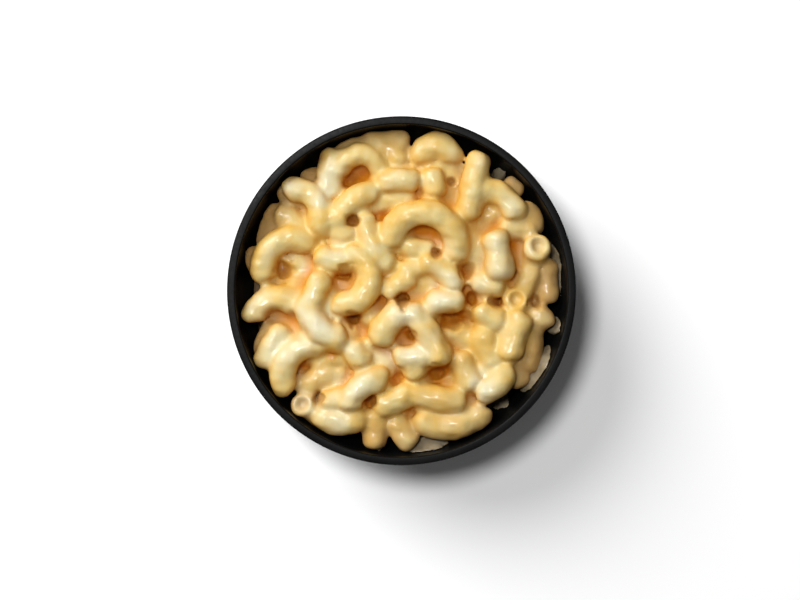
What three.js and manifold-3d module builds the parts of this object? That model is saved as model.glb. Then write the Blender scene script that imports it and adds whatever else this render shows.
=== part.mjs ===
// A round bowl of macaroni and cheese. Millimetres, +Z up. The origin is on the
// ground under the middle of the bowl.
import * as THREE from 'three';
import { mergeVertices } from 'three/addons/utils/BufferGeometryUtils.js';
import Module from 'manifold-3d';

// ---------------------------------------------------------------- dimensions
const bowlDiameter = 120;
const bowlHeight = 46;
const lipWidth = 2.8; // the flat rim, seen from above
const lipRound = 0.7; // radius of both edges of the rim
const floorTop = 4.5; // height of the bowl's inner floor at the middle
const floorUnderside = 2.2; // height of the bowl's underside at the middle
const wallPower = 0.75; // below 1 the sides stand steeper than a plain ellipse
const footOuterRadius = 31;
const footInnerRadius = 27.2;
const footHeight = 5.2; // where the foot ring meets the wall
const footSlope = 1; // both sides of the foot ring lean this far
const footEdge = 0.5; // chamfer of the foot ring
const bowlSides = 48;
const wallSteps = 8;
const edgeSteps = 3;

const fitGap = 0.3; // clearance between neighbouring bodies
const sauceLevel = 23; // the pooled sauce under the heap
const sauceWallGap = 0.45;
const sauceSides = 32;
const sauceSteps = 5;
const sauceSpread = 1.6; // above 1 the steps lie closer together near the bottom

const coreRadius = 49.5;
const coreFootRadius = 46.5;
const coreEdgeHeight = 30.5;
const coreDomeHeight = 38;
const coreSides = 32;
const coreSteps = 4;

const tubeSides = 7;
const lowTubeSides = 6; // elbows deep in the heap
const tubeStep = 4.5; // length of one straight stretch of a bent tube
const boreShare = 0.42; // bore radius as a share of the tube radius
const boreDepth = 2.6;
const boreSides = 6;
const cutPast = 1; // a cutter runs this far out of the face that it cuts
const leastBend = 0.02; // a straight elbow still gets this bend, in radians
const lieLean = 12; // a lying elbow's two ends hang a little below its crown
const riseLean = -90; // a rising elbow bends straight up

const blackGlaze = { color: 0x121212, roughness: 0.35 };
const cheese = { color: 0xd9942f, roughness: 0.3 };
const pasta = { color: 0xeccb86, roughness: 0.35 };

// Each elbow: crown x, y, z, heading at the crown, signed bend, length along the
// middle line, tube radius. Angles are in degrees, and a plus bend turns left.
const crestElbows = [
  [-11.3, 1.9, 41.8, -106, -203, 32, 4.6],
  [-29.8, -0.3, 41.2, -111, 14, 15, 4.4],
  [-29.3, -12.4, 41, -48, 112, 23, 5],
  [10, 26.7, 42, -12.5, -215, 43, 4.7],
  [-4.3, -10.7, 41.2, -130, 75, 19, 4.8],
  [9.2, -15, 41.2, -60, -32, 24, 4.8],
  [3.8, -22.4, 41, 0, -40, 13, 3.9],
  [4.4, -27, 39, -60, 0, 9, 4.1],
  [-0.8, 2.4, 39.4, 32, -20, 13, 3.5],
  [15, -4, 40.4, 2, 25, 14, 4.5],
  [33.6, 12.2, 40.2, -80, -15, 17.5, 5.1],
  [-1, 38.4, 40.4, 5, -40, 15, 3.9],
  [11.2, 37.2, 39.6, -80, 0, 11, 4],
  [-17.2, 30.8, 39.8, 38, -70, 21, 4.2],
  [-14, -33, 40.4, -141, 95, 20, 4.4],
  [-10, 16.2, 40.2, -62, 65, 22, 3.6],
  [24.9, 36.3, 39.4, -101, 12, 24, 4.5],
  [38.8, -15.6, 39, -108, 20, 18, 4.5],
  [14.4, 7.4, 40, -38, -75, 18, 4.2],
  [30.3, -8.8, 38.4, -22, 55, 12, 4.5],
  [29.8, 2, 38, -15, -20, 12, 4],
  [33.2, -32.8, 38.6, -132, -115, 15.5, 4.5],
];
const slopeElbows = [
  [-29.6, 31.2, 38.8, -55, -152, 25.5, 4.5],
  [-43.5, 16.5, 38.2, 35, -168, 30, 4.6],
  [-45.6, -2.6, 37.6, 17, -146, 22.5, 4.5],
  [-44.6, -19, 36.6, -117, 15, 17, 4.5],
  [-42.2, -24.4, 38.6, 50, -166, 29, 4.8],
  [-23.5, 10.4, 39.6, -13, 35, 14, 4.4],
  [-20.5, 20.3, 38, -25, -40, 9, 4],
  [-15.2, 47.2, 38.4, 5, -190, 24, 4.1],
  [-25.2, 41, 36.2, 85, -45, 18, 4.6],
  [-3.6, 48.2, 36, -38, -70, 13, 4.2],
  [12.5, 51.2, 37.6, 0, -188, 20, 4.6],
  [34.8, 32.8, 38.2, -36, -75, 20, 4.5],
  [-3, 32, 36, 8, -20, 16, 4.2],
  [-21.5, -45.6, 37.2, -3, 100, 19, 4.7],
  [-24, -38, 37.8, 20, 0, 10, 4.2],
  [12, -37.2, 37.8, -10, 15, 21, 4.5],
  [-1.5, -38.2, 38, 28, 60, 16, 4.3],
  [22.1, -28, 37, -72, 8, 14, 4.6],
  [29.5, -20, 36.8, -67, 8, 16, 4.5],
  [-15.2, -22.2, 39.4, -58, 0, 10, 4.6],
  [-8, -23, 36, -30, -30, 12, 4],
  [6, 14.4, 38.4, -10, 30, 12, 3.8],
  [-11, -8, 36.4, -60, 0, 10, 4],
  [43.6, 2.8, 35.6, -115, 0, 12, 3.7],
];
const lowElbows = [
  [-38.5, 25, 35, -35, -40, 12, 4.2],
  [-45, 22.8, 30.5, -112, 25, 16, 4.4],
  [-52, 11.3, 33, 95, -50, 9, 4],
  [-41, 35, 32.5, -50, 0, 9, 3.9],
  [-35, 4.5, 33.4, -105, -20, 14, 4.2],
  [-47.5, -17.5, 33, -108, 15, 13, 4.2],
  [-28, -30.2, 34.6, -155, 60, 19, 4.4],
  [-18, 49.4, 33.5, 22, -25, 18, 4.4],
  [-5, 52.2, 34.6, 4, -20, 16, 4.5],
  [12, 43.2, 34.4, -12, 0, 13, 4.2],
  [16.5, 33.5, 34.6, -88, 10, 18, 4.3],
  [30, 25.5, 33.6, -135, 20, 14, 4.2],
  [45, 25.2, 33.8, -65, -60, 12, 3.9],
  [40.5, 21.8, 35, -8, 25, 14, 4.1],
  [38.8, 36, 33.5, -40, 0, 8, 3.2],
  [24.6, 16.8, 35.4, -60, -10, 17, 4.3],
  [50.6, 3.5, 33, -93, 25, 16, 4.2],
  [48.4, -9.4, 34.2, -50, -30, 9, 4.3],
  [44.8, -19.6, 33, -98, -30, 17, 5],
  [40, -29.5, 33, -60, 0, 9, 4],
  [20.5, -15.5, 34.6, -20, 25, 15, 4.3],
  [-20, -12.5, 35, -62, 20, 13, 4.2],
  [-24.5, -24, 35, 20, -35, 14, 4.2],
  [27, 4.5, 34.6, -70, 15, 15, 4.3],
  [-38.5, 8.5, 33.6, 25, -30, 13, 4],
  [6.5, -15.5, 34.2, 70, 20, 12, 4],
  [17.8, -47.2, 35.8, 6.5, 108, 27, 5],
  [0.2, -49.3, 35, -55, 15, 13, 4.1],
  [-9.6, -50, 34.6, -88, 0, 14, 4.7],
  [3.4, 7.4, 39.2, 10, 0, 9, 3.3],
];
// Elbows that rise to an open end, with one more number: the climb at the crown.
const risingElbows = [
  [45.8, 11.2, 34, 70, 80, 17, 4.8, 35],
  [41.4, -5.7, 33, 120, 80, 16, 4.7, 45],
  [-30.8, -41.4, 33.6, 150, 90, 15, 4.4, 30],
];

// ------------------------------------------------------------------ helpers
const wasm = await Module();
wasm.setup();

function toSolid(geometry) {
  const bare = geometry.clone();
  bare.deleteAttribute('normal');
  bare.deleteAttribute('uv');
  const merged = mergeVertices(bare, 1e-4);
  return new wasm.Manifold(new wasm.Mesh({
    numProp: 3,
    vertProperties: new Float32Array(merged.attributes.position.array),
    triVerts: new Uint32Array(merged.index.array),
  }));
}

function toGeometry(solid) {
  const mesh = solid.getMesh();
  const geometry = new THREE.BufferGeometry();
  geometry.setAttribute('position', new THREE.BufferAttribute(mesh.vertProperties, 3));
  geometry.setIndex(new THREE.BufferAttribute(mesh.triVerts, 1));
  geometry.computeVertexNormals();
  return geometry;
}

function lathe(profile, sides) {
  const geometry = new THREE.LatheGeometry(profile, sides);
  geometry.rotateX(Math.PI / 2); // the profile's height becomes +Z
  return geometry;
}

function namedMesh(name, geometry, finish) {
  const mesh = new THREE.Mesh(geometry, new THREE.MeshStandardMaterial({ ...finish, metalness: 0 }));
  mesh.name = name;
  return mesh;
}

// --------------------------------------------------------------------- bowl
// A quarter of a squared ellipse, from its lowest point out to its full radius.
function wallPoint(radius, bottom, top, share) {
  const angle = share * Math.PI / 2;
  return new THREE.Vector2(
    radius * Math.sin(angle) ** wallPower,
    bottom + (top - bottom) * (1 - Math.cos(angle) ** wallPower),
  );
}

const rimBase = bowlHeight - lipRound;
const innerWall = [];
for (let i = 0; i <= wallSteps; i += 1) {
  innerWall.push(wallPoint(bowlDiameter / 2 - lipWidth, floorTop, rimBase, i / wallSteps));
}

// How far the flat-sided inner wall leaves room at a height.
function innerRadiusAt(height) {
  const last = innerWall.length - 1;
  const next = innerWall.findIndex((point) => point.y >= height);
  if (next < 0) return innerWall[last].x * Math.cos(Math.PI / bowlSides);
  const low = innerWall[Math.max(0, next - 1)];
  const high = innerWall[next];
  const share = high.y > low.y ? (height - low.y) / (high.y - low.y) : 1;
  return (low.x + (high.x - low.x) * share) * Math.cos(Math.PI / bowlSides);
}

// A quarter circle over one edge of the rim.
function edgeArc(centerX, startAngle) {
  const points = [];
  for (let i = 0; i <= edgeSteps; i += 1) {
    const angle = startAngle - (i / edgeSteps) * Math.PI / 2;
    points.push(new THREE.Vector2(
      centerX + lipRound * Math.cos(angle),
      rimBase + lipRound * Math.sin(angle),
    ));
  }
  return points;
}

function bowlProfile() {
  const outerRadius = bowlDiameter / 2;
  const points = innerWall.slice(0, -1);
  points.push(...edgeArc(outerRadius - lipWidth + lipRound, Math.PI));
  points.push(...edgeArc(outerRadius - lipRound, Math.PI / 2));
  for (let i = wallSteps - 1; i > 0; i -= 1) {
    const point = wallPoint(outerRadius, floorUnderside, rimBase, i / wallSteps);
    if (point.x > footOuterRadius + 2 * footSlope) points.push(point);
  }
  points.push(
    new THREE.Vector2(footOuterRadius + footSlope, footHeight),
    new THREE.Vector2(footOuterRadius, footEdge),
    new THREE.Vector2(footOuterRadius - footEdge, 0),
    new THREE.Vector2(footInnerRadius + footEdge, 0),
    new THREE.Vector2(footInnerRadius, footEdge),
    new THREE.Vector2(footInnerRadius - footSlope, floorUnderside),
    new THREE.Vector2(0, floorUnderside),
  );
  return points.reverse();
}

// -------------------------------------------------------------------- sauce
function sauceProfile() {
  const points = [new THREE.Vector2(0, floorTop + fitGap)];
  for (let i = 1; i <= sauceSteps; i += 1) {
    const height = floorTop + (sauceLevel - floorTop) * (i / sauceSteps) ** sauceSpread;
    points.push(new THREE.Vector2(innerRadiusAt(height) - sauceWallGap, height + fitGap));
  }
  points.push(new THREE.Vector2(0, sauceLevel + fitGap));
  return points;
}

// --------------------------------------------------------------------- heap
class ElbowCurve extends THREE.Curve {
  constructor([x, y, z, heading, bend, length, , climb = 0], lean) {
    super();
    const turn = THREE.MathUtils.degToRad(heading);
    const rise = THREE.MathUtils.degToRad(climb);
    const roll = THREE.MathUtils.degToRad(lean);
    this.crown = new THREE.Vector3(x, y, z);
    this.along = new THREE.Vector3(
      Math.cos(turn) * Math.cos(rise),
      Math.sin(turn) * Math.cos(rise),
      Math.sin(rise),
    );
    const left = new THREE.Vector3(-Math.sin(turn), Math.cos(turn), 0);
    const up = new THREE.Vector3().crossVectors(this.along, left);
    this.inward = left.multiplyScalar(Math.cos(roll) * (bend < 0 ? -1 : 1))
      .addScaledVector(up, -Math.sin(roll));
    this.elbowLength = length;
    this.bend = Math.max(leastBend, Math.abs(THREE.MathUtils.degToRad(bend)));
  }

  getPoint(share, target = new THREE.Vector3()) {
    const radius = this.elbowLength / this.bend;
    const angle = (share - 0.5) * this.bend;
    return target.copy(this.crown)
      .addScaledVector(this.along, radius * Math.sin(angle))
      .addScaledVector(this.inward, radius * (1 - Math.cos(angle)));
  }
}

function roundSection(radius, sides) {
  const points = [];
  for (let i = 0; i < sides; i += 1) {
    const angle = (i + 0.5) / sides * 2 * Math.PI;
    points.push(new THREE.Vector2(radius * Math.cos(angle), radius * Math.sin(angle)));
  }
  return new THREE.Shape(points);
}

function tube(curve, radius, sides, steps) {
  return toSolid(new THREE.ExtrudeGeometry(roundSection(radius, sides), {
    steps,
    extrudePath: curve,
    bevelEnabled: false,
  }));
}

// How far the points of a solid stand past the bowl's wall, less the fitting gap.
function crossing(solid) {
  const { vertProperties } = solid.getMesh();
  let most = 0;
  for (let i = 0; i < vertProperties.length; i += 3) {
    const [x, y, z] = vertProperties.subarray(i, i + 3);
    most = Math.max(most, Math.hypot(x, y) + fitGap - innerRadiusAt(z));
  }
  return most;
}

function elbow(row, lean, sides) {
  const steps = Math.max(2, Math.round(row[5] / tubeStep));
  return tube(new ElbowCurve(row, lean), row[6], sides, steps);
}

// An elbow that would cross the wall is moved in towards the middle.
function movedIn(row, lean) {
  const [x, y, ...rest] = row;
  const share = 1 - crossing(elbow(row, lean, tubeSides)) / Math.hypot(x, y, 1);
  return [x * share, y * share, ...rest];
}

// The bore is cut from the open end of a rising elbow only.
function bore(row, lean) {
  const curve = new ElbowCurve(row, lean);
  const mouth = curve.getPoint(1);
  const outward = curve.getTangent(1);
  const start = mouth.clone().addScaledVector(outward, -boreDepth);
  const end = mouth.clone().addScaledVector(outward, cutPast);
  return tube(new THREE.LineCurve3(start, end), row[6] * boreShare, boreSides, 1);
}

function core() {
  const base = sauceLevel + 2 * fitGap;
  const points = [new THREE.Vector2(0, base), new THREE.Vector2(coreFootRadius, base)];
  for (let i = 0; i <= coreSteps; i += 1) {
    const share = 1 - i / coreSteps;
    const height = coreEdgeHeight + (coreDomeHeight - coreEdgeHeight) * (1 - share ** 2);
    points.push(new THREE.Vector2(coreRadius * share, height));
  }
  return toSolid(lathe(points, coreSides));
}

function heap() {
  const lying = (sides) => (row) => elbow(movedIn(row, lieLean), lieLean, sides);
  const rising = risingElbows.map((row) => movedIn(row, riseLean));
  const bodies = [
    core(),
    ...crestElbows.map(lying(tubeSides)),
    ...slopeElbows.map(lying(tubeSides)),
    ...lowElbows.map(lying(lowTubeSides)),
    ...rising.map((row) => elbow(row, riseLean, tubeSides)),
  ];
  let joined = bodies.reduce((sum, body) => sum.add(body));
  rising.forEach((row) => { joined = joined.subtract(bore(row, riseLean)); });
  // One outer skin: a loose scrap or a sealed hollow is left out.
  const skins = joined.decompose();
  return skins.reduce((best, skin) => (skin.volume() > best.volume() ? skin : best));
}

// ----------------------------------------------------------------- assembly
const macaroniAndCheese = new THREE.Group();
macaroniAndCheese.add(
  namedMesh('bowl', lathe(bowlProfile(), bowlSides), blackGlaze),
  namedMesh('cheese_sauce', lathe(sauceProfile(), sauceSides), cheese),
  namedMesh('macaroni', toGeometry(heap()), pasta),
);

export default macaroniAndCheese;
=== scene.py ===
# A round black bowl of macaroni and cheese. Metres, +Z up; sizes in the dictionaries
# and lists are millimetres and turns are degrees, unless a note says otherwise.
import math

import bmesh
import bpy
import numpy as np
from mathutils import Matrix, Vector


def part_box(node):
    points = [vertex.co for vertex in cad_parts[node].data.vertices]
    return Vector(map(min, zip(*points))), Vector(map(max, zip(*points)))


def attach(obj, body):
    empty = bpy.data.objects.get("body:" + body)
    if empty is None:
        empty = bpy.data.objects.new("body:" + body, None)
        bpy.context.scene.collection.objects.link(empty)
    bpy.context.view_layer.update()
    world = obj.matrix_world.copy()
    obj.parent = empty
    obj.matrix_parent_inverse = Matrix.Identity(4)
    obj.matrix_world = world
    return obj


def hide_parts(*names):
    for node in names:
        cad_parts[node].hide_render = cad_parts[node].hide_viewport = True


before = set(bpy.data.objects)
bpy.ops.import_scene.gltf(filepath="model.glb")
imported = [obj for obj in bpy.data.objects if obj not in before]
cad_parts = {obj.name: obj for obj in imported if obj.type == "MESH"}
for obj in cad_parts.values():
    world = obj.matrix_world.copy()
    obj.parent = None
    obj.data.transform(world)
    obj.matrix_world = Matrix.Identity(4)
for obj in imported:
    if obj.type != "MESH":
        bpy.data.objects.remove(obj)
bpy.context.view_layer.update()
mm = 0.001
print("frame loaded")


# camera and light come first, so that every try can be looked at
view = {
    "imageWidth": 800,  # pixels
    "imageHeight": 600,  # pixels
    "pixelSize": 0.3434,  # at the height of the rim
    "bowlAt": (401.5, 290.7),  # pixels, the middle of the bowl
    "distance": 800,  # from the rim
    "sensor": 36,
    "clipStart": 10,
}


def makeCamera():
    camera = bpy.data.objects.new("camera", bpy.data.cameras.new("camera"))
    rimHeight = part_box("bowl")[1][2]
    camera.data.sensor_width = view["sensor"]
    camera.data.lens = view["sensor"] * view["distance"] / (view["imageWidth"] * view["pixelSize"])
    camera.data.clip_start = view["clipStart"] * mm
    camera.location = (
        (view["imageWidth"] / 2 - view["bowlAt"][0]) * view["pixelSize"] * mm,
        (view["bowlAt"][1] - view["imageHeight"] / 2) * view["pixelSize"] * mm,
        rimHeight + view["distance"] * mm,
    )
    bpy.context.scene.collection.objects.link(camera)
    bpy.context.scene.camera = camera


# places and sizes here are metres, powers are watts
studio = {
    "keyFrom": (-0.14, 0.14, 0.96),  # upper left, high
    "keySize": 0.18,
    "keyPower": 5.3,
    "fillFrom": (-0.54, 0.5, 0.66),
    "fillSize": 0.75,
    "fillPower": 11.4,
    "aimAt": (0, 0, 0.03),
    "surround": 0.1,  # strength of the white all round
    "floorSize": 6.0,
    "floorDark": (0.96, 0.96, 0.96, 1),
    "floorLight": (0.97, 0.97, 0.97, 1),
    "floorGrain": 9,  # noise scale
    "floorRoughness": 0.9,
}


def addAreaLight(name, place, size, power):
    light = bpy.data.lights.new(name, "AREA")
    light.shape = "DISK"
    light.size = size
    light.energy = power
    lamp = bpy.data.objects.new(name, light)
    lamp.location = place
    lamp.rotation_euler = (Vector(studio["aimAt"]) - Vector(place)).to_track_quat("-Z", "Y").to_euler()
    bpy.context.scene.collection.objects.link(lamp)


def makeStudio():
    addAreaLight("keyLight", studio["keyFrom"], studio["keySize"], studio["keyPower"])
    addAreaLight("fillLight", studio["fillFrom"], studio["fillSize"], studio["fillPower"])
    world = bpy.data.worlds.new("studio")
    world.use_nodes = True
    background = world.node_tree.nodes["Background"]
    background.inputs["Color"].default_value = (1, 1, 1, 1)
    background.inputs["Strength"].default_value = studio["surround"]
    bpy.context.scene.world = world
    bpy.context.scene.view_settings.view_transform = "Standard"
    bm = bmesh.new()
    bmesh.ops.create_grid(bm, x_segments=1, y_segments=1, size=studio["floorSize"] / 2)
    floor = addPiece("floor", meshOf(bm), paleFloor())
    print("studio made")


class Wire:
    # a shader socket that Python's operators turn into Math nodes
    def __init__(self, maker, socket):
        self.maker = maker
        self.socket = socket

    def __add__(self, other):
        return self.maker.node("Math", {"operation": "ADD"}, (self, other))

    def __mul__(self, other):
        return self.maker.node("Math", {"operation": "MULTIPLY"}, (self, other))

    __radd__ = __add__
    __rmul__ = __mul__


class Maker:
    # builds one material's nodes
    def __init__(self, name):
        self.material = bpy.data.materials.new(name)
        self.material.use_nodes = True
        self.tree = self.material.node_tree
        self.shader = self.tree.nodes["Principled BSDF"]

    def plug(self, socket, value):
        if isinstance(value, Wire):
            self.tree.links.new(value.socket, socket)
        elif value is not None:
            socket.default_value = value

    def node(self, kind, settings=None, values=(), output=0):
        # settings go on first, then each socket's value or link
        new = self.tree.nodes.new("ShaderNode" + kind)
        for key, value in (settings or {}).items():
            setattr(new, key, value)
        pairs = values.items() if isinstance(values, dict) else enumerate(values)
        for key, value in pairs:
            self.plug(new.inputs[key], value)
        return Wire(self, new.outputs[output])

    def noise(self, scale, detail=2.0):
        place = self.node("TexCoord", output="Object")
        return self.node("TexNoise", None, {"Vector": place, "Scale": scale, "Detail": detail})

    def attribute(self, name):
        return self.node("Attribute", {"attribute_name": name}, output="Fac")

    def spread(self, value, low, high, newLow=0.0, newHigh=1.0):
        # noise mostly lies between 0.3 and 0.7, so its spreads do too
        return self.node("MapRange", None, {0: value, 1: low, 2: high, 3: newLow, 4: newHigh})

    def blend(self, share, first, second):
        return self.node("Mix", {"data_type": "RGBA"}, {0: share, 6: first, 7: second}, output=2)

    def bump(self, height, distance, strength, below=None):
        # distance in millimetres
        values = {"Height": height, "Distance": distance * mm, "Strength": strength, "Normal": below}
        return self.node("Bump", None, values)

    def finish(self, **values):
        for key, value in values.items():
            self.plug(self.shader.inputs[key.replace("_", " ")], value)
        return self.material


def paleFloor():
    maker = Maker("paleFloor")
    grain = maker.noise(studio["floorGrain"], detail=3)
    shade = maker.blend(maker.spread(grain, 0.3, 0.7), studio["floorDark"], studio["floorLight"])
    return maker.finish(Base_Color=shade, Roughness=studio["floorRoughness"])


glaze = {
    "dark": (0.0025, 0.0025, 0.0025, 1),
    "light": (0.005, 0.005, 0.0048, 1),
    "cloudScale": 60,
    "cloudBump": 0.2,
    "speckScale": 900,
    "speckBump": 0.04,
    "roughness": (0.32, 0.4),
    "speckRoughness": (-0.03, 0.04),  # added at the specks
    "sheen": 0.05,
}


def blackGlaze():
    maker = Maker("blackGlaze")
    cloud = maker.noise(glaze["cloudScale"], detail=4)
    speck = maker.noise(glaze["speckScale"])
    shade = maker.blend(maker.spread(cloud, 0.35, 0.7), glaze["dark"], glaze["light"])
    rough = maker.spread(cloud, 0.3, 0.7, *glaze["roughness"])
    rough = rough + maker.spread(speck, 0.4, 0.7, *glaze["speckRoughness"])
    normal = maker.bump(cloud, glaze["cloudBump"], strength=0.3)
    normal = maker.bump(speck, glaze["speckBump"], strength=0.5, below=normal)
    return maker.finish(
        Base_Color=shade,
        Roughness=rough,
        Normal=normal,
        Specular_IOR_Level=glaze["sheen"],
    )


cheese = {
    "cream": (0.595, 0.49, 0.225, 1),
    "gold": (0.615, 0.415, 0.115, 1),
    # the sides' colour: thinner sauce on steep sides, and painted shade there
    "side": (0.66, 0.32, 0.026, 1),
    # painted shade: the brown laid in hollows and gaps
    "deep": (0.48, 0.165, 0.005, 1),
    # painted shade in the pits
    "pitShade": (0.2, 0.075, 0.012, 1),
    # painted shade low down by the wall, where the bowl's wall shadows the heap
    "wallShade": (0.37, 0.21, 0.08, 1),
    "pale": (0.645, 0.61, 0.43, 1),
    "amber": (0.55, 0.34, 0.085, 1),
    "cloudScale": 140,
    "cloudBump": 1,
    "patchScale": 55,
    "rippleScale": 420,
    "rippleBump": 0.3,
    "roughness": (0.42, 0.55),
    "hollowRoughness": 0.35,  # added in the hollows
    "wetScale": 210,
    "wetCoat": (0.8, 0.12),  # on top and in the hollows
    "coatRoughness": 0.24,
    "sheen": 0.2,
    "bleed": (0.72, 0.47, 0.2),
    "bleedReach": 2.2,
    "bleedShare": 0.5,
}
# colours laid over the cream, in order: what leads each, from where to where it comes
# in, how much it covers, and the colour
# the side, hollow, pit and wall layers and the deepest tone layer paint shade; the side layer also stands
# for thinner sauce on steep sides
sauceLayers = [
    ["cloud", 0.35, 0.68, 1, "gold"],
    ["patch", 0.54, 0.7, 0.7, "pale"],
    ["toneAndShade", 0, 1.1, 1, "pale"],
    ["toneAndShade", 0, -1, 1, "amber"],
    ["coverAndSideShade", 0.96, 0.2, 0.8, "side"],
    ["hollow", 0.06, 0.72, 1, "deep"],
    # painted shade: the lowest tones turn brown at gaps
    ["toneAndShade", -0.9, -2, 1, "deep"],
    ["pitShade", 0, 1, 1, "pitShade"],
    ["wallShade", 0, 1, 0.7, "wallShade"],
]


def saucedPasta():
    maker = Maker("saucedPasta")
    # these attributes lead painted shade (hollows, pits, low by the wall, lowest tones), the sides' colour
    # and tone
    leads = {name: maker.attribute(name) for name in ("hollow", "coverAndSideShade", "toneAndShade", "pitShade", "wallShade")}
    leads["cloud"] = maker.noise(cheese["cloudScale"], detail=3)
    leads["patch"] = maker.noise(cheese["patchScale"])
    base = cheese["cream"]
    for lead, start, full, share, colour in sauceLayers:
        base = maker.blend(maker.spread(leads[lead], start, full, 0.0, share), base, cheese[colour])
    rough = maker.spread(leads["patch"], 0.3, 0.7, *cheese["roughness"])
    wet = maker.spread(maker.noise(cheese["wetScale"]), 0.44, 0.62)
    normal = maker.bump(leads["cloud"], cheese["cloudBump"], strength=0.35)
    ripple = maker.noise(cheese["rippleScale"], detail=3)
    return maker.finish(
        Base_Color=base,
        Roughness=rough + leads["hollow"] * cheese["hollowRoughness"],
        Normal=maker.bump(ripple, cheese["rippleBump"], strength=0.4, below=normal),
        Subsurface_Weight=cheese["bleedShare"],
        Subsurface_Radius=cheese["bleed"],
        Subsurface_Scale=cheese["bleedReach"] * mm,
        IOR=1.42,
        Specular_IOR_Level=cheese["sheen"],
        Coat_Weight=wet * maker.spread(leads["hollow"], 0.1, 0.7, *cheese["wetCoat"]),
        Coat_Roughness=cheese["coatRoughness"],
        Coat_IOR=1.45,
    )


film = {
    "cloudScale": 120,
    "rippleScale": 300,
    "rippleBump": 0.3,
    "bleedReach": 1.5,
    "bleedShare": 0.3,
}


def thinSauce(name, dark, light, rough):
    maker = Maker(name)
    cloud = maker.noise(film["cloudScale"], detail=3)
    return maker.finish(
        Base_Color=maker.blend(maker.spread(cloud, 0.35, 0.7), dark, light),
        Roughness=rough,
        Normal=maker.bump(maker.noise(film["rippleScale"]), film["rippleBump"], strength=0.4),
        Subsurface_Weight=film["bleedShare"],
        Subsurface_Radius=cheese["bleed"],
        Subsurface_Scale=film["bleedReach"] * mm,
    )


def meshOf(bm):
    mesh = bpy.data.meshes.new("mesh")
    bm.to_mesh(mesh)
    bm.free()
    return mesh


def joinMesh(bm, mesh):
    bm.from_mesh(mesh)
    bpy.data.meshes.remove(mesh)


def addObject(name, mesh):
    obj = bpy.data.objects.new(name, mesh)
    bpy.context.scene.collection.objects.link(obj)
    return obj


def addPiece(name, mesh, material):
    # one finished piece, shaded smooth
    mesh.materials.clear()
    mesh.materials.append(material)
    mesh.polygons.foreach_set("use_smooth", [True] * len(mesh.polygons))
    return addObject(name, mesh)


def lathe(outline, steps, axis, join):
    # an outline of (x, z) places turned all the way round an axis
    bm = bmesh.new()
    verts = [bm.verts.new((x, 0, z)) for x, z in outline]
    edges = [bm.edges.new(pair) for pair in zip(verts, verts[1:])]
    bmesh.ops.spin(
        bm,
        geom=verts + edges,
        cent=(0, 0, 0),
        axis=axis,
        angle=2 * math.pi,
        steps=steps,
        use_merge=True,
    )
    bmesh.ops.remove_doubles(bm, verts=bm.verts, dist=join)
    bmesh.ops.recalc_face_normals(bm, faces=bm.faces)
    return meshOf(bm)


def readPoints(mesh):
    points = np.empty(len(mesh.vertices) * 3)
    mesh.vertices.foreach_get("co", points)
    return points.reshape(-1, 3)


def writePoints(mesh, points):
    mesh.vertices.foreach_set("co", points.ravel())
    mesh.update()


def readNormals(mesh):
    normals = np.empty(len(mesh.vertices) * 3)
    mesh.vertex_normals.foreach_get("vector", normals)
    return normals.reshape(-1, 3)


def neighbourMean(mesh):
    # a function that gives, for each point, the mean of the points joined to it
    ends = np.empty(len(mesh.edges) * 2, dtype=np.int64)
    mesh.edges.foreach_get("vertices", ends)
    first, second = ends.reshape(-1, 2).T
    count = np.bincount(ends, minlength=len(mesh.vertices))[:, None]

    def mean(values):
        total = np.empty_like(values)
        for axis in range(values.shape[1]):
            column = values[:, axis]
            total[:, axis] = np.bincount(first, column[second], len(values))
            total[:, axis] += np.bincount(second, column[first], len(values))
        return total / count

    return mean


def wobble(points, size, seed, waves=14):
    # smooth seeded unevenness between about -1 and 1, with waves about one size long
    rng = np.random.default_rng(seed)
    total = np.zeros(len(points))
    for _ in range(waves):
        way = rng.normal(size=3)
        way *= 2 * math.pi / size * rng.uniform(0.7, 1.5) / np.linalg.norm(way)
        total += np.sin(points @ way + rng.uniform(0, 2 * math.pi))
    return total / 4


bowl = {
    "lipWidth": 2.8,
    "lipRound": 0.5,
    "lipSteps": 6,
    "floorTop": 4.5,
    "floorUnderside": 2.2,
    "wallPower": 0.75,
    "footOuter": 31,
    "footInner": 27.2,
    "footHeight": 5.2,
    "footSlope": 1,
    "footEdge": 0.5,
    "sides": 160,
    "wallSteps": 28,
    "join": 0.001,
}
bowl["radius"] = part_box("bowl")[1][0] / mm
bowl["rimBase"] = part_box("bowl")[1][2] / mm - bowl["lipRound"]


def wallPoint(radius, bottom, top, share):
    angle = share * math.pi / 2
    out = radius * math.sin(angle) ** bowl["wallPower"]
    return out, bottom + (top - bottom) * (1 - max(0.0, math.cos(angle)) ** bowl["wallPower"])


def innerRadiusAt(height):
    # the smooth inner wall's radius at a height; takes and gives arrays too
    drop = (bowl["rimBase"] - height) / (bowl["rimBase"] - bowl["floorTop"])
    turn = np.arccos(np.clip(drop, 0, 1) ** (1 / bowl["wallPower"]))
    return (bowl["radius"] - bowl["lipWidth"]) * np.sin(turn) ** bowl["wallPower"]


def keptInside(points, gap):
    # points in metres, pulled in to stay this far from the wall
    out = np.hypot(points[:, 0], points[:, 1])
    room = (innerRadiusAt(points[:, 2] / mm) - gap) * mm
    points[:, :2] *= np.minimum(1, room / np.maximum(out, 1e-6))[:, None]
    return points


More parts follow.
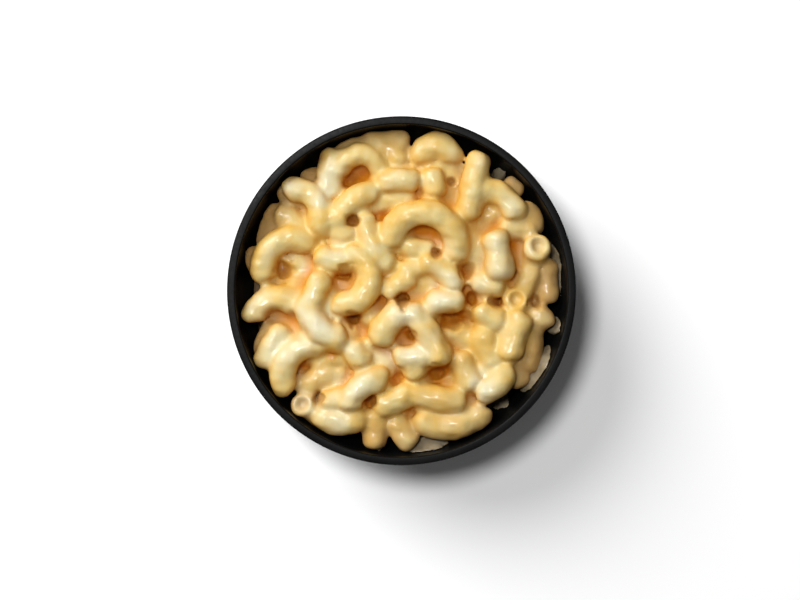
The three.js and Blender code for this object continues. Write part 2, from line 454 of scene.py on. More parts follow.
def bowlProfile():
    # from the middle of the floor up the inside, over the lip and down to the foot
    outer = bowl["radius"]
    inner = outer - bowl["lipWidth"]
    steps = bowl["wallSteps"]
    points = [wallPoint(inner, bowl["floorTop"], bowl["rimBase"], i / steps) for i in range(steps)]
    for middle, start in ((inner + bowl["lipRound"], 180), (outer - bowl["lipRound"], 90)):
        for i in range(bowl["lipSteps"] + 1):
            angle = math.radians(start - i * 90 / bowl["lipSteps"])
            points.append((
                middle + bowl["lipRound"] * math.cos(angle),
                bowl["rimBase"] + bowl["lipRound"] * math.sin(angle),
            ))
    for i in range(steps - 1, 0, -1):
        out, up = wallPoint(outer, bowl["floorUnderside"], bowl["rimBase"], i / steps)
        if out > bowl["footOuter"] + 2 * bowl["footSlope"]:
            points.append((out, up))
    edge = bowl["footEdge"]
    points += [
        (bowl["footOuter"] + bowl["footSlope"], bowl["footHeight"]),
        (bowl["footOuter"], edge),
        (bowl["footOuter"] - edge, 0),
        (bowl["footInner"] + edge, 0),
        (bowl["footInner"], edge),
        (bowl["footInner"] - bowl["footSlope"], bowl["floorUnderside"]),
        (0, bowl["floorUnderside"]),
    ]
    return points


def makeBowl():
    outline = [(out * mm, up * mm) for out, up in bowlProfile()]
    mesh = lathe(outline, bowl["sides"], (0, 0, 1), bowl["join"] * mm)
    piece = addPiece("blackBowl", mesh, blackGlaze())
    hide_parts("bowl")
    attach(piece, "root")
    print("bowl made")


# each elbow: crown x, y, z, heading at the crown, signed bend, length along the
# middle line, tube radius; a plus bend turns left
crestElbows = [
    [-11.3, 1.9, 41.8, -106, -203, 32, 4.6],
    [-29.8, -0.3, 41.2, -111, 14, 15, 4.4],
    [-29.3, -12.4, 41, -48, 112, 23, 5],
    [10, 26.7, 42, -12.5, -215, 43, 4.7],
    [-4.3, -10.7, 41.2, -130, 75, 19, 4.8],
    [9.2, -15, 41.2, -60, -32, 24, 4.8],
    [3.8, -22.4, 41, 0, -40, 13, 3.9],
    [4.4, -27, 39, -60, 0, 9, 4.1],
    [-0.8, 2.4, 39.4, 32, -20, 13, 3.5],
    [15, -4, 40.4, 2, 25, 14, 4.5],
    [33.6, 12.2, 40.2, -80, -15, 17.5, 5.1],
    [-1, 38.4, 40.4, 5, -40, 15, 3.9],
    [11.2, 37.2, 39.6, -80, 0, 11, 4],
    [-17.2, 30.8, 39.8, 38, -70, 21, 4.2],
    [-14, -33, 40.4, -141, 95, 20, 4.4],
    [-10, 16.2, 40.2, -62, 65, 22, 3.6],
    [24.9, 36.3, 39.4, -101, 12, 24, 4.5],
    [38.8, -15.6, 39, -108, 20, 18, 4.5],
    [14.4, 7.4, 40, -38, -75, 18, 4.2],
    [30.3, -8.8, 38.4, -22, 55, 12, 4.5],
    [29.8, 2, 38, -15, -20, 12, 4],
    [33.2, -32.8, 38.6, -132, -115, 15.5, 4.5],
]
slopeElbows = [
    [-29.6, 31.2, 38.8, -55, -152, 25.5, 4.5],
    [-43.5, 16.5, 38.2, 35, -168, 30, 4.6],
    [-45.6, -2.6, 37.6, 17, -146, 22.5, 4.5],
    [-44.6, -19, 36.6, -117, 15, 17, 4.5],
    [-42.2, -24.4, 38.6, 50, -166, 29, 4.8],
    [-23.5, 10.4, 39.6, -13, 35, 14, 4.4],
    [-20.5, 20.3, 38, -25, -40, 9, 4],
    [-15.2, 47.2, 38.4, 5, -190, 24, 4.1],
    [-25.2, 41, 36.2, 85, -45, 18, 4.6],
    [-3.6, 48.2, 36, -38, -70, 13, 4.2],
    [12.5, 51.2, 37.6, 0, -188, 20, 4.6],
    [34.8, 32.8, 38.2, -36, -75, 20, 4.5],
    [-3, 32, 36, 8, -20, 16, 4.2],
    [-21.5, -45.6, 37.2, -3, 100, 19, 4.7],
    [-24, -38, 37.8, 20, 0, 10, 4.2],
    [12, -37.2, 37.8, -10, 15, 21, 4.5],
    [-1.5, -38.2, 38, 28, 60, 16, 4.3],
    [22.1, -28, 37, -72, 8, 14, 4.6],
    [29.5, -20, 36.8, -67, 8, 16, 4.5],
    [-15.2, -22.2, 39.4, -58, 0, 10, 4.6],
    [-8, -23, 36, -30, -30, 12, 4],
    [6, 14.4, 38.4, -10, 30, 12, 3.8],
    [-11, -8, 36.4, -60, 0, 10, 4],
    [43.6, 2.8, 35.6, -115, 0, 12, 3.7],
]
lowElbows = [
    [-38.5, 25, 35, -35, -40, 12, 4.2],
    [-45, 22.8, 30.5, -112, 25, 16, 4.4],
    [-52, 11.3, 33, 95, -50, 9, 4],
    [-41, 35, 32.5, -50, 0, 9, 3.9],
    [-35, 4.5, 33.4, -105, -20, 14, 4.2],
    [-47.5, -17.5, 33, -108, 15, 13, 4.2],
    [-28, -30.2, 34.6, -155, 60, 19, 4.4],
    [-18, 49.4, 33.5, 22, -25, 18, 4.4],
    [-5, 52.2, 34.6, 4, -20, 16, 4.5],
    [12, 43.2, 34.4, -12, 0, 13, 4.2],
    [16.5, 33.5, 34.6, -88, 10, 18, 4.3],
    [30, 25.5, 33.6, -135, 20, 14, 4.2],
    [45, 25.2, 33.8, -65, -60, 12, 3.9],
    [40.5, 21.8, 35, -8, 25, 14, 4.1],
    [38.8, 36, 33.5, -40, 0, 8, 3.2],
    [24.6, 16.8, 35.4, -60, -10, 17, 4.3],
    [50.6, 3.5, 33, -93, 25, 16, 4.2],
    [48.4, -9.4, 34.2, -50, -30, 9, 4.3],
    [44.8, -19.6, 33, -98, -30, 17, 5],
    [40, -29.5, 33, -60, 0, 9, 4],
    [20.5, -15.5, 34.6, -20, 25, 15, 4.3],
    [-20, -12.5, 35, -62, 20, 13, 4.2],
    [-24.5, -24, 35, 20, -35, 14, 4.2],
    [27, 4.5, 34.6, -70, 15, 15, 4.3],
    [-38.5, 8.5, 33.6, 25, -30, 13, 4],
    [6.5, -15.5, 34.2, 70, 20, 12, 4],
    [17.8, -47.2, 35.8, 6.5, 108, 27, 5],
    [0.2, -49.3, 35, -55, 15, 13, 4.1],
    [-9.6, -50, 34.6, -88, 0, 14, 4.7],
    [3.4, 7.4, 39.2, 10, 0, 9, 3.3],
]
# elbows that rise to an open end, with one more number: the climb at the crown
risingElbows = [
    [45.8, 11.2, 34, 70, 80, 17, 4.8, 35],
    [41.4, -5.7, 33, 120, 80, 16, 4.7, 45],
    [-30.8, -41.4, 33.6, 150, 90, 15, 4.4, 30],
]
# thick sauce that joins neighbours: x, y, z, half length, half width, half height, heading
webs = [
    [26.5, 33.2, 38.2, 4.6, 4, 3.4, 60],
    [-19.5, 16.2, 38.4, 5, 2.4, 2.4, -8],
    [8.6, 3.4, 37, 5.5, 4.4, 2.4, 0],
    [-9, -37.5, 36.2, 4.2, 3.4, 3, 0],
    [-37.5, -19.5, 38, 5, 4, 3.4, 40],
    [-22, -38.6, 38, 4.6, 3.4, 3.2, 10],
    [25.2, 20, 35.6, 7.5, 3.4, 2.6, -60],
    [44.5, -18, 34.6, 9.5, 4.4, 3.4, 80],
    [-9, 50, 35.6, 7.5, 4, 3, 0],
    [14, 43.6, 36, 7, 3.8, 3, -10],
    [40, 24, 34.6, 6, 4, 3, 10],
    [-6, -28, 36.4, 4.4, 3.2, 3, 20],
    [-24.5, 24.5, 36.6, 4.4, 3, 3, 70],
    [29.5, -28, 36.2, 5, 4, 3, -60],
    [-20.4, 2.4, 35.4, 3.8, 2.8, 2.4, -60],
    [-12.6, 36.4, 35.2, 3.4, 2.4, 2.2, 30],
    [17, -30.4, 35, 3.6, 2.2, 2, 10],
]
# where the sauce is paler (plus) or more golden (minus), and painted brown shade at gaps (below -1): x, y,
# reach, share
tonesAndShade = [
    [-34, -39, 4, 0.8],
    [46, 15, 4, 0.6],
    [-22, 12, 5, 0.9],
    [-39, 36, 4, 0.8],
    [14, 15, 5, 0.6],
    [28, -33, 6, 0.8],
    [4, -21, 6, 1],
    [1, -8, 5, 0.9],
    [-42, -20, 7, 0.8],
    [38, 29, 4, 0.6],
    [13, -3, 6, 0.9],
    [-27, -12, 7, 0.7],
    [-47, 12, 5, 0.7],
    [-27, 33, 4, 0.5],
    [32, 17, 5, 0.7],
    [33, 8, 5, 0.4],
    [26, 1, 5, 0.6],
    [8, 38, 4, 0.5],
    [27, 46, 4, 0.4],
    [-15, -33, 6, 0.9],
    [-22, -44, 6, 0.7],
    [-18, -20, 3, 0.8],
    [38, -12, 5, 0.4],
    [-3, 39, 5, 0.4],
    [-49, -5, 5, 0.4],
    [-16, 40, 4, -0.7],
    [-20.5, 8, 4, -0.9],
    [-20, 2.4, 2.6, 0.6],
    [-4, 50, 5, -0.7],
    [10, 46, 7, -0.5],
    [14, 33, 6, -0.7],
    [24, 23, 6, -0.7],
    [20, -14, 6, -0.5],
    [21, -27, 7, -0.6],
    [12, -37, 7, -0.6],
    [-10, -48, 8, -0.9],
    [46, -20, 8, -0.8],
    [48, 3, 6, -0.7],
    [-48, 24, 7, -0.7],
    [-51, 12, 4, -0.8],
    [-26, -28, 7, -0.5],
    [8, 5, 6, -0.6],
    [-38, 6, 6, -0.6],
    [-33, -27, 4, -0.6],
    [5, -27, 3, -0.6],
    [40, -3, 6, -0.3],
    [17, -47, 9, -0.5],
    [-41, 7.4, 3.2, -1.4],
    [-33.4, 7.6, 3.2, 0.9],
    [-29.4, 17.6, 2.4, -1.4],
    [-24, -21.6, 2.6, -1.9],
    [17, -9, 3.4, -1.4],
]
# small holes dented in and darkened with painted shade: x, y, radius, depth, and how dark from 0 to 1
pits = [
    [0.4, -3, 2.2, 5, 1],
    [33.3, -4, 2, 3.6, 0.9],
    [12, 12.8, 1.7, 3.4, 0.6],
    [-16.8, 24.4, 2, 3, 0.9],
    [-41, 7.2, 2.8, 3, 0.6],
    [-28.8, -37, 1.9, 3.4, 1],
    [46.5, -4, 1.8, 3.2, 0.4],
    [17.6, -10.4, 3, 3, 0.4],
    [-16.6, -9.4, 2.2, 3.2, 0.9],
    [22.4, 7.4, 2.7, 2.2, 0.5],
    [24.2, -2.6, 1.7, 3, 0.7],
    [-10.4, -38.4, 1.9, 3, 0.8],
    [-19.6, 6.4, 2.2, 2.2, 0.6],
    [12.6, -28, 2.6, 1.4, 0.5],
    [-17.4, 38.8, 2.6, 1.2, 0.4],
    [17.4, 37.6, 1.4, 2.6, 0.7],
    [3.6, -15.6, 1.8, 1.6, 0.5],
]
elbow = {
    "lieLean": 12,  # how far a lying elbow's bend tips down
    "riseLean": -90,  # a rising one's bend goes straight up
    "endRound": 0.72,  # these three are shares of the tube's radius
    "openRound": 0.4,
    "bore": 0.48,
    "boreDepth": 2.2,
    "boreLip": 0.8,
    "boreTaper": 0.8,  # the bore's end to its mouth
    "endSteps": 5,
    "endDimple": 0.05,  # share of the tube's radius
    "step": 1.4,
    "around": 22,
    "leastBend": 0.02,  # radians
    "swell": 0.06,
    "swellLength": 13,
    "swellAcross": 0.4,
    "join": 0.0001,
    "wallGap": 0.2,
}


def elbowProfile(length, radius, bored):
    # along and out, from the middle of one end over the outside to the other's
    rounding = (elbow["openRound"] if bored else elbow["endRound"]) * radius
    half = length / 2
    arc = [math.radians(90 - i * 90 / elbow["endSteps"]) for i in range(elbow["endSteps"] + 1)]
    tip = half - rounding
    end = [(tip + rounding * math.sin(a), radius - rounding + rounding * math.cos(a)) for a in arc]
    if bored:
        bore = elbow["bore"] * radius
        depth = elbow["boreDepth"]
        cap = [(half - depth, 0), (half - depth, bore * elbow["boreTaper"]), (half - elbow["boreLip"], bore)]
    else:
        cap = [(half - elbow["endDimple"] * radius, 0)]
    steps = max(2, round((length - 2 * rounding) / elbow["step"]))
    close = [(-half, 0)] + [(-a, out) for a, out in end]
    side = [(-half + rounding + (length - 2 * rounding) * i / steps, radius) for i in range(1, steps)]
    return close + side + list(reversed(end)) + list(reversed(cap))


def addElbow(bm, row, lean, seed, bored=False):
    # a straight tube, lathed along x, then bent on a circle through its crown
    x, y, z, heading, bend, length, radius = row[:7]
    climb = math.radians(row[7]) if len(row) > 7 else 0.0
    turn = math.radians(heading)
    roll = math.radians(lean)
    along = np.array([math.cos(turn) * math.cos(climb), math.sin(turn) * math.cos(climb), math.sin(climb)])
    left = np.array([-math.sin(turn), math.cos(turn), 0])
    up = np.cross(along, left)
    inward = left * math.cos(roll) * (-1 if bend < 0 else 1) - up * math.sin(roll)
    aside = np.cross(along, inward)
    arc = max(elbow["leastBend"], abs(math.radians(bend)))
    sweep = length / arc

    mesh = lathe(elbowProfile(length, radius, bored), elbow["around"], (1, 0, 0), elbow["join"])
    points = readPoints(mesh)
    angle = points[:, 0] / length * arc
    stretch = [1, elbow["swellAcross"], elbow["swellAcross"]]
    swell = 1 + elbow["swell"] * wobble(points * stretch, elbow["swellLength"], seed)
    across = points[:, 1] * swell
    over = points[:, 2] * swell
    sin, cos = np.sin(angle)[:, None], np.cos(angle)[:, None]
    placed = np.array([x, y, z]) + sweep * sin * along + sweep * (1 - cos) * inward
    placed += across[:, None] * (cos * inward - sin * along) + over[:, None] * aside
    past = np.hypot(placed[:, 0], placed[:, 1]) + elbow["wallGap"] - innerRadiusAt(placed[:, 2])
    placed[:, :2] -= max(0.0, past.max()) * np.array([x, y]) / math.hypot(x, y, 1)
    writePoints(mesh, placed * mm)
    joinMesh(bm, mesh)


def addWeb(bm, row):
    x, y, z, length, width, height, heading = row
    place = Matrix.Translation((x * mm, y * mm, z * mm))
    turn = Matrix.Rotation(math.radians(heading), 4, "Z")
    size = Matrix.Diagonal((length * mm, width * mm, height * mm, 1))
    bmesh.ops.create_icosphere(bm, subdivisions=3, radius=1, matrix=place @ turn @ size)


# the plain dome that fills the heap's middle
core = {
    "base": 23.6,
    "radius": 49,
    "edge": 30,
    "dome": 36,
    "foot": 3,  # how far the bottom stands in from the edge
    "steps": 14,
    "sides": 64,
    "join": 0.001,
}


def addCore(bm):
    outline = [(0, core["base"] * mm), ((core["radius"] - core["foot"]) * mm, core["base"] * mm)]
    for i in range(core["steps"] + 1):
        share = 1 - i / core["steps"]
        up = core["edge"] + (core["dome"] - core["edge"]) * (1 - share ** 2)
        outline.append((core["radius"] * share * mm, up * mm))
    joinMesh(bm, lathe(outline, core["sides"], (0, 0, 1), core["join"] * mm))


# the elbows under the ones that show
buried = {
    "count": 70,
    "seed": 5,
    "shapeSeed": 500,
    "reach": 47,
    "goldenTurn": 2.39996,  # radians
    "height": 32.8,
    "drop": 4.5,  # lower at the edge
    "uneven": 1.2,
    "bend": 120,
    "length": (12, 20),
    "radius": (3.9, 4.4),
}


def addBuried(bm):
    # strewn evenly on a spiral
    rng = np.random.default_rng(buried["seed"])
    for i in range(buried["count"]):
        out = buried["reach"] * math.sqrt((i + 0.5) / buried["count"])
        turn = i * buried["goldenTurn"]
        drop = buried["drop"] * (out / buried["reach"]) ** 2
        row = [
            out * math.cos(turn),
            out * math.sin(turn),
            buried["height"] - drop + rng.uniform(-buried["uneven"], buried["uneven"]),
            rng.uniform(0, 360),
            rng.uniform(-buried["bend"], buried["bend"]),
            rng.uniform(*buried["length"]),
            rng.uniform(*buried["radius"]),
        ]
        addElbow(bm, row, elbow["lieLean"], buried["shapeSeed"] + i)


# sauce is laid as sheets over square grids that look down on the heap
sheet = {
    "gridHalf": 60,
    "half": 50,
    "underside": 0.3,  # over the core's base
    "leastTop": 1,  # over the core's base
}


def cellsUnder(points, cell):
    # the line and column of the grid that each point stands over
    place = ((points[:, :2] + sheet["gridHalf"]) / cell).astype(int)
    column, line = np.clip(place, 0, int(2 * sheet["gridHalf"] / cell) - 1).T
    return line, column


def heightMap(points, cell):
    # the highest point over each cell
    side = int(2 * sheet["gridHalf"] / cell)
    top = np.full((side, side), core["base"])
    np.maximum.at(top, cellsUnder(points, cell), points[:, 2])
    return top


def bridged(top):
    # single empty cells take the mean of the cells beside them
    for axis in (0, 1):
        top = np.maximum(top, (np.roll(top, 1, axis) + np.roll(top, -1, axis)) / 2)
    return top


def blurred(top, times):
    for _ in range(times):
        top = (top + np.roll(top, 1, 0) + np.roll(top, -1, 0) + np.roll(top, 1, 1) + np.roll(top, -1, 1)) / 5
    return top


def grown(heights, reach, cell):
    # each cell takes the highest top of a ball of this reach that rests on a cell near it
    best = heights.copy()
    span = int(reach / cell)
    for i in range(-span, span + 1):
        for j in range(-span, span + 1):
            away = math.hypot(i, j) * cell
            if 0 < away <= reach:
                drop = reach - math.sqrt(reach * reach - away * away)
                best = np.maximum(best, np.roll(heights, (i, j), (0, 1)) - drop)
    return best


def closed(top, reach, cell):
    # the lowest surface that a ball of this reach can roll under
    return -grown(-grown(top, reach, cell), reach, cell)


def addSheet(bm, levels, cell):
    # a solid under a grid of levels, out to the core's edge
    part = bmesh.new()
    count = int(2 * sheet["half"] / cell)
    bmesh.ops.create_grid(part, x_segments=count, y_segments=count, size=sheet["half"] * mm)
    outside = [face for face in part.faces if face.calc_center_median().length > core["radius"] * mm]
    bmesh.ops.delete(part, geom=outside, context="FACES")
    skirt = bmesh.ops.extrude_face_region(part, geom=part.faces[:])
    lower = {item for item in skirt["geom"] if isinstance(item, bmesh.types.BMVert)}
    for vert in part.verts:
        if vert in lower:
            vert.co.z = (core["base"] + sheet["underside"]) * mm
            continue
        column = int((vert.co.x / mm + sheet["gridHalf"]) / cell)
        line = int((vert.co.y / mm + sheet["gridHalf"]) / cell)
        vert.co.z = max(core["base"] + sheet["leastTop"], levels[line, column]) * mm
    bmesh.ops.recalc_face_normals(part, faces=part.faces)
    joinMesh(bm, meshOf(part))


# thick sauce that hangs between the elbows, a little below their tops
fill = {
    "cell": 1,
    "reach": 3,
    "sink": 5.2,
    "edge": 44,
    "fallOff": 0.35,  # past the edge, by the square of the way
    "softenings": 3,
    "uneven": 1.3,
    "wave": (0.23, 0.27),  # radians to the millimetre
}


def addFill(bm):
    cell = fill["cell"]
    points = np.array([vert.co for vert in bm.verts]) / mm
    levels = closed(bridged(heightMap(points, cell)), fill["reach"], cell)
    for _ in range(fill["softenings"]):
        levels = sum(np.roll(levels, way, axis) for axis in (0, 1) for way in (-1, 1)) / 4
    half = sheet["gridHalf"]
    y, x = np.mgrid[-half:half, -half:half]
    edge = np.maximum(0, np.hypot(x, y) - fill["edge"])
    uneven = fill["uneven"] * np.sin(x * fill["wave"][0] + 1) * np.sin(y * fill["wave"][1] + 2)
    addSheet(bm, levels - fill["sink"] + uneven - edge * edge * fill["fallOff"], cell)


# sauce that rounds the creases between neighbours, to the radius of a small ball
crease = {
    "cell": 0.5,
    "reach": 1.1,
    "sink": 0.9,
    "full": 0.8,  # a crease this deep is filled
    "rise": 0.4,  # a filled crease stands this much higher
    "softenings": 2,
}


def addCreaseSauce(bm, mesh):
    cell = crease["cell"]
    top = bridged(heightMap(readPoints(mesh) / mm, cell))
    levels = closed(top, crease["reach"], cell)
    under = -grown(-top, 2 * cell, cell) - crease["sink"]
    share = np.clip((levels - top) / crease["full"], 0, 1)
    levels = blurred(levels - crease["sink"] + crease["rise"] * share, crease["softenings"])
    addSheet(bm, under + (levels - under) * share, cell)
    joinMesh(bm, mesh)


def shaped(obj, kind, settings):
    # the mesh that one modifier makes of an object, which is then removed
    modifier = obj.modifiers.new("shape", kind)
    for key, value in settings.items():
        setattr(modifier, key, value)
    graph = bpy.context.evaluated_depsgraph_get()
    mesh = bpy.data.meshes.new_from_object(obj.evaluated_get(graph))
    bpy.data.objects.remove(obj)
    return mesh


def remeshed(bm, voxel):
    # one skin round everything in bm
    return shaped(addObject("draft", meshOf(bm)), "REMESH", {"mode": "VOXEL", "voxel_size": voxel * mm})


def thinned(mesh, triangles):
    # the same skin with this many triangles
    count = sum(len(face.vertices) - 2 for face in mesh.polygons)
    return shaped(addObject("draft", mesh), "DECIMATE", {"ratio": min(1, triangles / count)})


def evened(points, mean, times):
    for _ in range(times):
        points += 0.5 * (mean(points) - points)
    return points


heap = {
    "voxel": 0.42,
    "risingSeed": 200,
    "steadySteps": 3,  # evens out the voxels' steps without shrinking
    "steadyIn": 0.6,
    "steadyBack": 0.55,
    "flowSteps": 36,
    "flowPace": 0.5,
    "flowBack": 0.1,
    "flowTurn": 4,  # normals are read again after this many steps
    "lumps": ((0.12, 5, 31), (0.22, 9, 33), (0.2, 15, 32)),  # height, size, seed
    "evenings": 2,
    "wallGap": 0.2,
    "cut": 0.8,  # the underside's cut over the core's base
    "cutMatch": 0.002,
    "triangles": 190000,
}
pit = {
    "ragged": 0.22,
    "raggedSize": 5,
    "raggedSeed": 71,
    "rim": 1.4,  # where the slope starts, in radii
    "slope": 0.8,  # how wide it is, in radii
    "above": 30,  # only what is higher sinks
    "pitShadeReach": 0.9,  # the painted shade's reach, in radii
}


def steadied(points, mean):
    for _ in range(heap["steadySteps"]):
        points += heap["steadyIn"] * (mean(points) - points)
        points -= heap["steadyBack"] * (mean(points) - points)
    return points


def flowIntoCreases(mesh, mean):
    # sauce gathers in the creases: hollow places are raised, the others hardly sink
    points = readPoints(mesh)
    for step in range(heap["flowSteps"]):
        if step % heap["flowTurn"] == 0:
            writePoints(mesh, points)
            normals = readNormals(mesh)
        lift = ((mean(points) - points) * normals).sum(axis=1)
        lift = heap["flowPace"] * np.maximum(lift, 0) + heap["flowBack"] * np.minimum(lift, 0)
        points += lift[:, None] * normals
    return points


def dentPits(points):
    ragged = 1 + pit["ragged"] * wobble(points, pit["raggedSize"] * mm, pit["raggedSeed"])
    for x, y, radius, depth, _ in pits:
        away = ragged * np.hypot(points[:, 0] / mm - x, points[:, 1] / mm - y) / radius
        near = (away < pit["rim"]) & (points[:, 2] > pit["above"] * mm)
        share = np.clip((pit["rim"] - away[near]) / pit["slope"], 0, 1)
        points[near, 2] -= depth * mm * share * share * (3 - 2 * share)
    return points


def flattenBase(mesh):
    # the flat underside is one face, with no loose flakes left in its plane
    bm = bmesh.new()
    bm.from_mesh(mesh)
    level = (core["base"] + heap["cut"]) * mm
    bmesh.ops.bisect_plane(
        bm,
        geom=bm.verts[:] + bm.edges[:] + bm.faces[:],
        dist=1e-6,
        plane_co=(0, 0, level),
        plane_no=(0, 0, -1),
        clear_outer=True,
    )
    match = heap["cutMatch"] * mm
    flakes = [face for face in bm.faces if all(abs(vert.co.z - level) < match for vert in face.verts)]
    bmesh.ops.delete(bm, geom=flakes, context="FACES")
    bmesh.ops.holes_fill(bm, edges=[edge for edge in bm.edges if edge.is_boundary], sides=0)
    bmesh.ops.recalc_face_normals(bm, faces=bm.faces)
    bm.to_mesh(mesh)
    bm.free()


paint = {
    "cell": 0.5,
    "spreads": 30,
    "fall": 0.45,  # how fast the top falls away from an elbow, for each cell
    "softenings": 25,
    "start": 1.4,  # depth where the painted hollow shade begins
    "deep": 5.4,  # and how much deeper it is full
    "nearWall": (42, 7),  # radius where the wall's painted shade begins, and how far it takes
    "belowRim": (40.5, 4),
    "wallHollow": 0.7,  # how much less painted hollow shade there is by the wall
    "evenings": 6,
}


def spots(points, rows):
    # round soft spots added up: each row is x, y, reach and share
    return sum(
        share * np.exp(-((points[:, 0] - x) ** 2 + (points[:, 1] - y) ** 2) / reach ** 2)
        for x, y, reach, share in rows
    )


def paintSauce(mesh):
    # what leads the sauce's colours, kept on the points
    points = readPoints(mesh) / mm
    top = heightMap(points, paint["cell"])
    for _ in range(paint["spreads"]):
        wider = top.copy()
        for axis in (0, 1):
            for way in (1, -1):
                wider = np.maximum(wider, np.roll(top, way, axis) - paint["fall"])
        top = wider
    top = blurred(top, paint["softenings"])[cellsUnder(points, paint["cell"])]
    # painted shade: the deeper a point lies below the tops round it, the browner the sauce
    hollow = np.clip((top - points[:, 2] - paint["start"]) / paint["deep"], 0, 1)
    wall, wallWidth = paint["nearWall"]
    rim, rimDepth = paint["belowRim"]
    byWall = np.clip((np.hypot(points[:, 0], points[:, 1]) - wall) / wallWidth, 0, 1)
    hollow *= 1 - byWall * paint["wallHollow"]
    # painted shade of the bowl's wall on the low sauce near it
    wallShade = byWall * np.clip((rim - points[:, 2]) / rimDepth, 0, 1)
    # painted shade in the pits
    pitShade = spots(points, [(x, y, pit["pitShadeReach"] * radius, dark) for x, y, radius, _, dark in pits])
    # steep sides take the orange side colour, partly thinner sauce and partly painted shade; tops stay cream
    coverAndSideShade = readNormals(mesh)[:, 2]
    values = np.stack([hollow, coverAndSideShade, spots(points, tonesAndShade), pitShade, wallShade], axis=1)
    mean = neighbourMean(mesh)
    for _ in range(paint["evenings"]):
        values = mean(values)
    for name, value in zip(("hollow", "coverAndSideShade", "toneAndShade", "pitShade", "wallShade"), values.T):
        layer = mesh.attributes.new(name, "FLOAT", "POINT")
        layer.data.foreach_set("value", np.ascontiguousarray(value, dtype=np.float32))


def makeHeap():
    bm = bmesh.new()
    addCore(bm)
    addBuried(bm)
    for seed, row in enumerate(crestElbows + slopeElbows + lowElbows):
        addElbow(bm, row, elbow["lieLean"], seed)
    for seed, row in enumerate(risingElbows):
        addElbow(bm, row, elbow["riseLean"], heap["risingSeed"] + seed, bored=True)
    for row in webs:
        addWeb(bm, row)
    addFill(bm)
    bmesh.ops.recalc_face_normals(bm, faces=bm.faces)
    draft = remeshed(bm, heap["voxel"])
    bm = bmesh.new()
    addCreaseSauce(bm, draft)
    mesh = remeshed(bm, heap["voxel"])
    print("heap skinned:", len(mesh.vertices))
    mean = neighbourMean(mesh)
    writePoints(mesh, steadied(readPoints(mesh), mean))
    points = dentPits(flowIntoCreases(mesh, mean))
    writePoints(mesh, points)
    lumps = sum(height * wobble(points, size * mm, seed) for height, size, seed in heap["lumps"])
    points += readNormals(mesh) * lumps[:, None] * mm
    writePoints(mesh, keptInside(evened(points, mean, heap["evenings"]), heap["wallGap"]))
    flattenBase(mesh)
    paintSauce(mesh)
    piece = addPiece("macaroniHeap", thinned(mesh, heap["triangles"]), saucedPasta())
    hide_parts("macaroni")
    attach(piece, "root")
    print("heap made:", len(piece.data.vertices))


# the pooled sauce under the heap, coloured near black as painted shade in the deep gaps
pool = {
    "level": 23,
    "bottomGap": 0.3,
    "wallGap": 0.45,
    "steps": 18,
    "stepPower": 1.6,  # closer steps low down, where the wall curves most
    "topRings": (0.97, 0.9, 0.7, 0.4, 0),  # shares of the radius
    "sides": 96,
    "join": 0.001,
    # painted shade: sauce this dark stands for the shadow deep in the gaps
    "dark": (0.10, 0.055, 0.018, 1),
    "light": (0.16, 0.09, 0.03, 1),
    "roughness": 0.7,
}


def makePool():
    bottom = bowl["floorTop"]
    outline = [(0, (bottom + pool["bottomGap"]) * mm)]
    for i in range(1, pool["steps"] + 1):
        height = bottom + (pool["level"] - bottom) * (i / pool["steps"]) ** pool["stepPower"]
        out = innerRadiusAt(height) - pool["wallGap"]
        outline.append((out * mm, (height + pool["bottomGap"]) * mm))
    for share in pool["topRings"]:
        outline.append((out * share * mm, (pool["level"] + pool["bottomGap"]) * mm))
    mesh = lathe(outline, pool["sides"], (0, 0, 1), pool["join"] * mm)
    sauce = thinSauce("shadedPoolSauce", pool["dark"], pool["light"], pool["roughness"])
    piece = addPiece("saucePool", mesh, sauce)
    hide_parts("cheese_sauce")
    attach(piece, "root")
    print("sauce made")


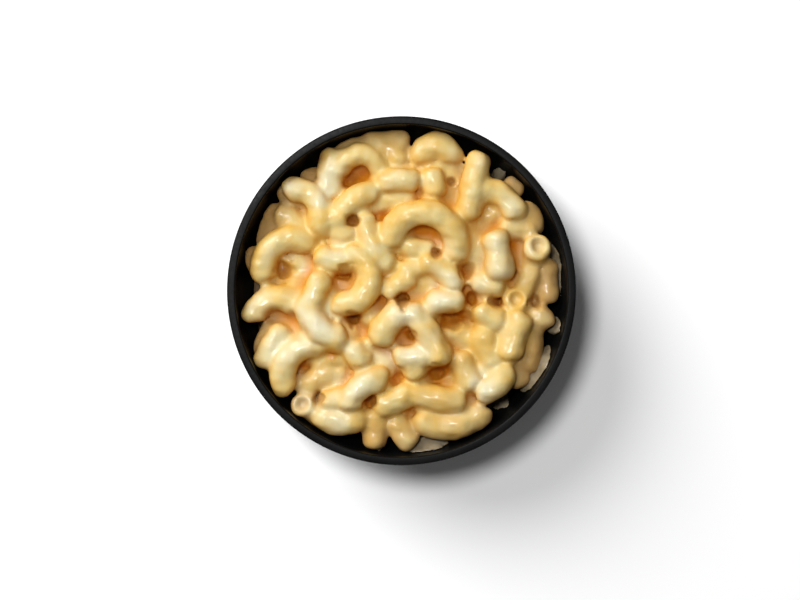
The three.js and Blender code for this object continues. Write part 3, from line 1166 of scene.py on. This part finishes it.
# sauce smeared on the wall: angle, half its spread, lower height, upper height, width in from the wall
smears = [
    [-81, 8.5, 31, 36.5, 6],
    [-30, 10, 31, 38.5, 6.2],
    [50, 3, 26, 31, 4],
    [8, 12, 28, 35, 4.2],
    [-120, 5, 28, 34, 4],
    [-99, 3.5, 29, 34, 3],
    [-48, 4, 24, 29, 4.4],
    [-13, 3.5, 31, 38, 3.6],
]
smear = {
    "steps": 24,
    "leastFull": 0.03,  # how far round the end stands in
    "fullPower": 0.7,
    "ripple": 0.2,
    "ripples": 9,  # radians along one smear
    "wallGap": 0.12,
    "voxel": 0.35,
    "evenings": 12,
    "uneven": 0.15,
    "unevenSize": 5,
    "unevenSeed": 61,
    "dark": (0.15, 0.11, 0.06, 1),
    "light": (0.36, 0.30, 0.20, 1),
    "roughness": 0.16,
}


def addSmear(bm, angle, half, low, high, width):
    # rings of one section, bridged along the wall and fullest in the middle
    rings = []
    for i in range(smear["steps"] + 1):
        share = i / smear["steps"]
        inside = min(1 - smear["leastFull"], max(smear["leastFull"], share))
        full = math.sin(math.pi * inside) ** smear["fullPower"]
        full *= 1 + smear["ripple"] * math.sin(share * smear["ripples"] + angle)
        top = low + (high - low) * min(1.0, full)
        turn = math.radians(angle + half * (2 * share - 1))
        # height and thickness, from behind the sauce over its belly to its thin top
        rows = (
            (low - 4, 0),
            (low - 2.5, width * full * 0.7),
            (low, width * full),
            (low + 0.7, width * full * 0.8),
            (low + (top - low) * 0.5, width * full * 0.34),
            (top, 0.3 * full),
            (top + 0.2, 0),
        )
        verts = []
        for height, inward in rows:
            out = innerRadiusAt(height) - smear["wallGap"] - inward
            verts.append(bm.verts.new((out * math.cos(turn) * mm, out * math.sin(turn) * mm, height * mm)))
        rings.append([bm.edges.new((verts[j - 1], verts[j])) for j in range(len(verts))])
    for ring, following in zip(rings, rings[1:]):
        bmesh.ops.bridge_loops(bm, edges=ring + following)
    bmesh.ops.holes_fill(bm, edges=rings[0] + rings[-1], sides=0)


def makeSmears():
    bm = bmesh.new()
    for row in smears:
        addSmear(bm, *row)
    bmesh.ops.recalc_face_normals(bm, faces=bm.faces)
    mesh = remeshed(bm, smear["voxel"])
    points = evened(readPoints(mesh), neighbourMean(mesh), smear["evenings"])
    uneven = smear["uneven"] * mm * wobble(points, smear["unevenSize"] * mm, smear["unevenSeed"])
    points += readNormals(mesh) * uneven[:, None]
    writePoints(mesh, keptInside(points, smear["wallGap"]))
    sauce = thinSauce("smearedSauce", smear["dark"], smear["light"], smear["roughness"])
    piece = addPiece("sauceSmears", mesh, sauce)
    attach(piece, "root")
    print("smears made")


makeCamera()
makeStudio()
makeBowl()
makePool()
makeHeap()
makeSmears()
